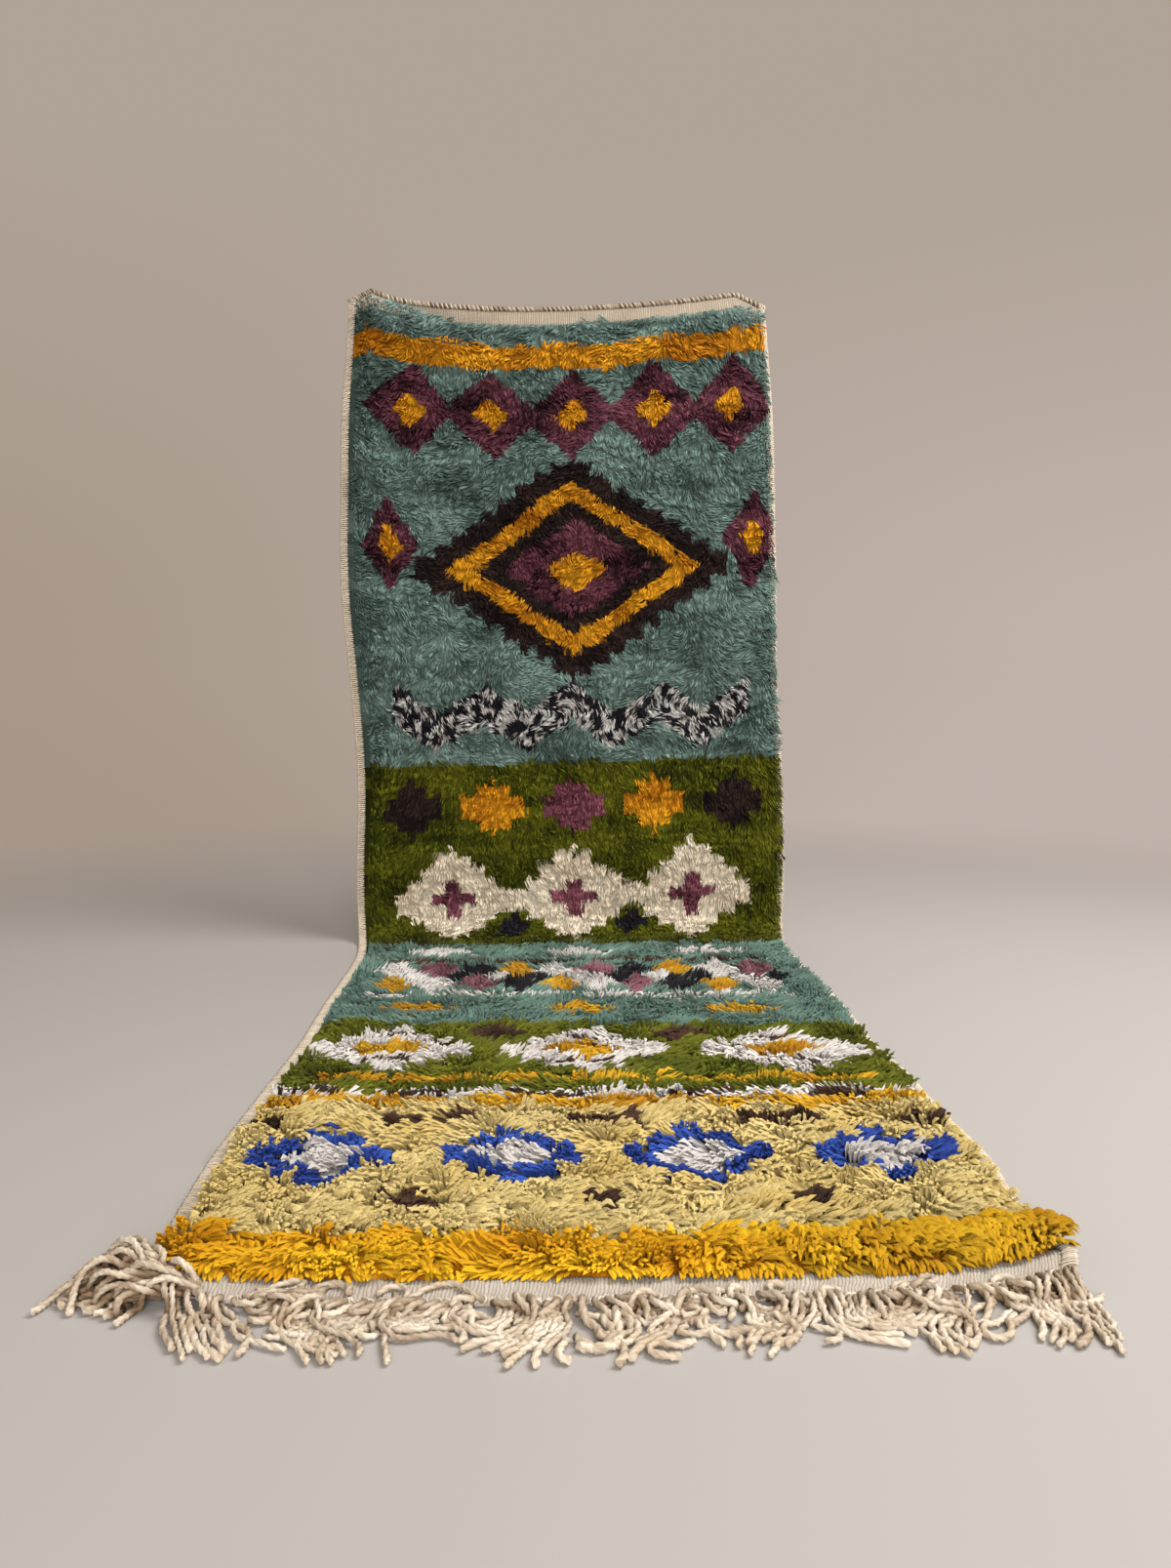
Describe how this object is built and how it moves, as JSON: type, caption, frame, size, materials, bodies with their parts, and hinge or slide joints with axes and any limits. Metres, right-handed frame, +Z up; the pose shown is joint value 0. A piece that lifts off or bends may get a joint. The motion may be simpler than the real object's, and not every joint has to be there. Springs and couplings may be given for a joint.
{
  "type": "berber runner rug",
  "caption": "Long hand-knotted wool runner with a deep pile and a corded fringe, hung by its top corners, bending at the floor and lying flat along it towards the front.",
  "frame": {"origin": "on the floor, under the middle of the whole rug's box", "axes": "+Z up; the rug hangs at the back (+Y) and lies out along the floor towards the front (-Y); +X to the right, seen from the front"},
  "size_m": [0.8532, 1.4602, 1.2037],
  "materials": {
    "wool_pile": "deep hand-knotted wool pile, soft and matt",
    "overcast_wool": "cream wool wound over the side cords, matt",
    "plaited_warp": "plaited warp yarn, matt",
    "warp_cords": "hard-twisted cream wool cords, matt"
  },
  "bodies": {
    "root": {"rug_cloth": "wool_pile", "selvedge_left": "overcast_wool", "selvedge_right": "overcast_wool", "top_braid": "plaited_warp", "fringe": "warp_cords"}
  },
  "joints": []
}
